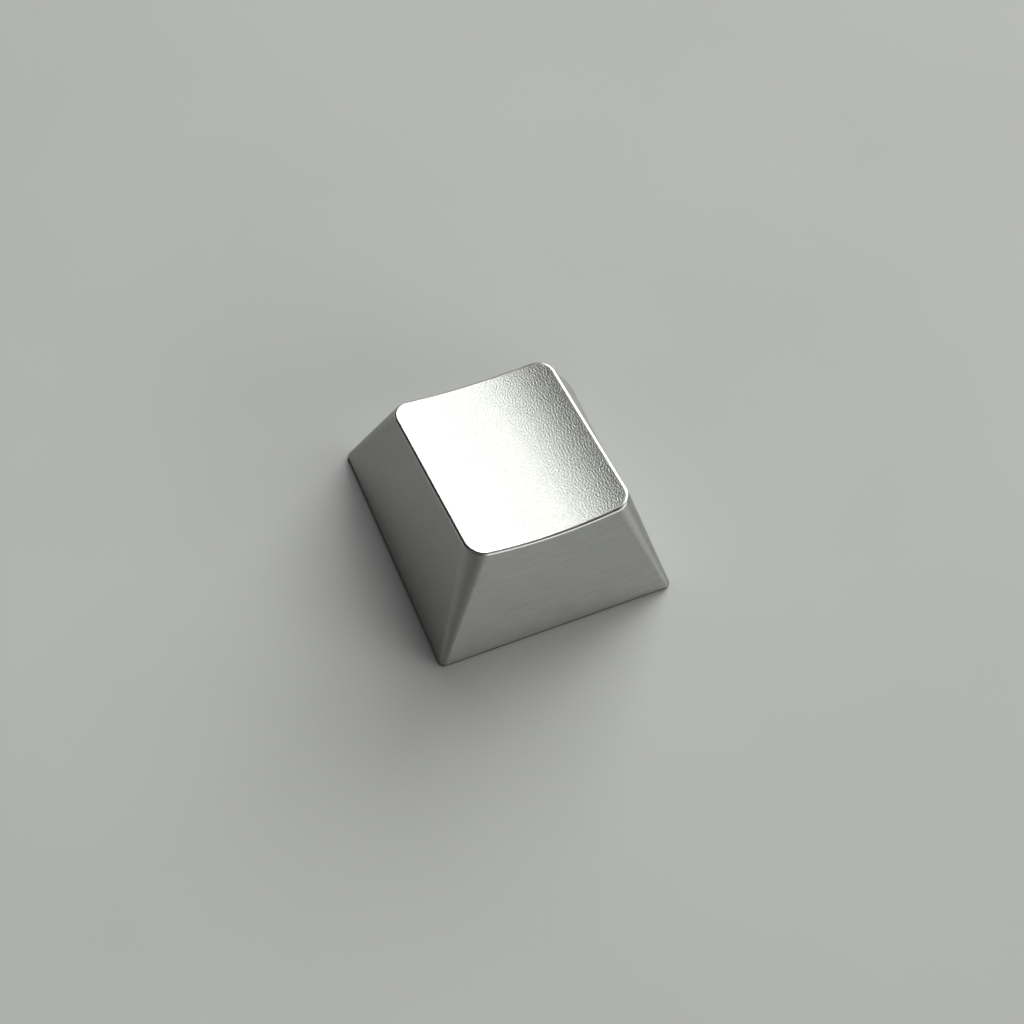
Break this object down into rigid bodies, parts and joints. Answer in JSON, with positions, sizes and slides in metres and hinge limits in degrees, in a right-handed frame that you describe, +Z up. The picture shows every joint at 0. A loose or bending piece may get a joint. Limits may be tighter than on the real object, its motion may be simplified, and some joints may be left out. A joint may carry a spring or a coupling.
{
  "type": "keycap",
  "caption": "Metal keycap for a desktop keyboard: square foot, tapered sides, tilted top with a shallow finger dish, hollow underside and a cross socket in a round stem boss.",
  "frame": {"origin": "middle of the square foot, on the surface that the keycap stands on", "axes": "+Z up through the stem, +Y to the back of the keyboard, +X to the right as the typist sees it"},
  "size_m": [0.0182, 0.0182, 0.0085],
  "materials": {
    "keycap_metal": "blasted dish, finely brushed sides, polished rim"
  },
  "bodies": {
    "root": {"keycap": "keycap_metal"}
  },
  "joints": []
}
